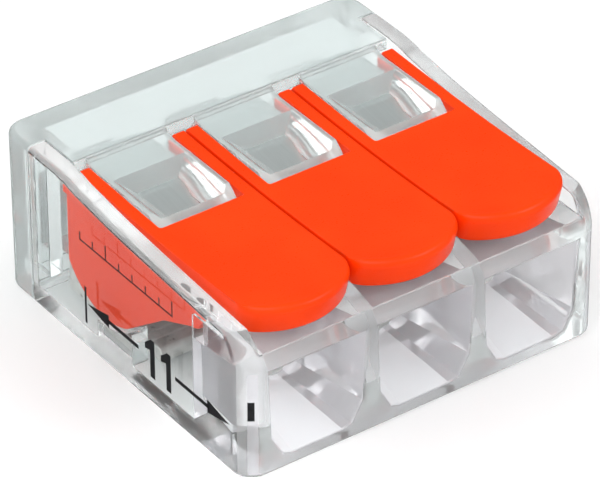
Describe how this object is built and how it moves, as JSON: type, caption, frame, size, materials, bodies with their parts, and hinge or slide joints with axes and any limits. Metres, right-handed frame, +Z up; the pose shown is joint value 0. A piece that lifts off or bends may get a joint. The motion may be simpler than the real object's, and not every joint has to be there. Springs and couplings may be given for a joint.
{
  "type": "lever wire connector",
  "caption": "Compact splicing connector: clear housing with funnel wire entries, orange levers that open leaf-spring clamps, and one common busbar.",
  "frame": {"origin": "middle of the underside, under the middle pole", "axes": "+X across the poles, +Y from the wire entries to the rear, +Z up through the levers"},
  "size_m": [0.0186, 0.0184, 0.0081],
  "materials": {
    "clear_housing": "clear polished polycarbonate",
    "clear_cover": "clear polished polycarbonate",
    "orange_lever": "satin moulded polyamide",
    "tinned_copper": "matt tin plating on copper",
    "spring_steel": "rolled stainless spring strip"
  },
  "bodies": {
    "housing": {"housing_body": "clear_housing", "rear_cover": "clear_cover", "busbar": "tinned_copper", "spring_1_base": "spring_steel", "spring_2_base": "spring_steel", "spring_3_base": "spring_steel"},
    "lever_1": {"lever_1": "orange_lever"},
    "clamp_1": {"spring_1_leg": "spring_steel"},
    "lever_2": {"lever_2": "orange_lever"},
    "clamp_2": {"spring_2_leg": "spring_steel"},
    "lever_3": {"lever_3": "orange_lever"},
    "clamp_3": {"spring_3_leg": "spring_steel"}
  },
  "joints": [
    {"name": "lever_1_hinge", "type": "hinge", "parent": "housing", "child": "lever_1", "pos_m": [-0.0056, 0.002, 0.0051], "axis": [-1, 0, 0], "range_deg": [0, 90]},
    {"name": "clamp_1_flex", "type": "hinge", "parent": "housing", "child": "clamp_1", "pos_m": [-0.0056, -0.0036, 0.00566], "axis": [1, 0, 0], "range_deg": [0, 24]},
    {"name": "lever_2_hinge", "type": "hinge", "parent": "housing", "child": "lever_2", "pos_m": [0, 0.002, 0.0051], "axis": [-1, 0, 0], "range_deg": [0, 90]},
    {"name": "clamp_2_flex", "type": "hinge", "parent": "housing", "child": "clamp_2", "pos_m": [0, -0.0036, 0.00566], "axis": [1, 0, 0], "range_deg": [0, 24]},
    {"name": "lever_3_hinge", "type": "hinge", "parent": "housing", "child": "lever_3", "pos_m": [0.0056, 0.002, 0.0051], "axis": [-1, 0, 0], "range_deg": [0, 90]},
    {"name": "clamp_3_flex", "type": "hinge", "parent": "housing", "child": "clamp_3", "pos_m": [0.0056, -0.0036, 0.00566], "axis": [1, 0, 0], "range_deg": [0, 24]}
  ],
  "couplings": [
    {"joint": "clamp_1_flex", "follows": "lever_1_hinge", "ratio": 0.2666},
    {"joint": "clamp_2_flex", "follows": "lever_2_hinge", "ratio": 0.2666},
    {"joint": "clamp_3_flex", "follows": "lever_3_hinge", "ratio": 0.2666}
  ]
}
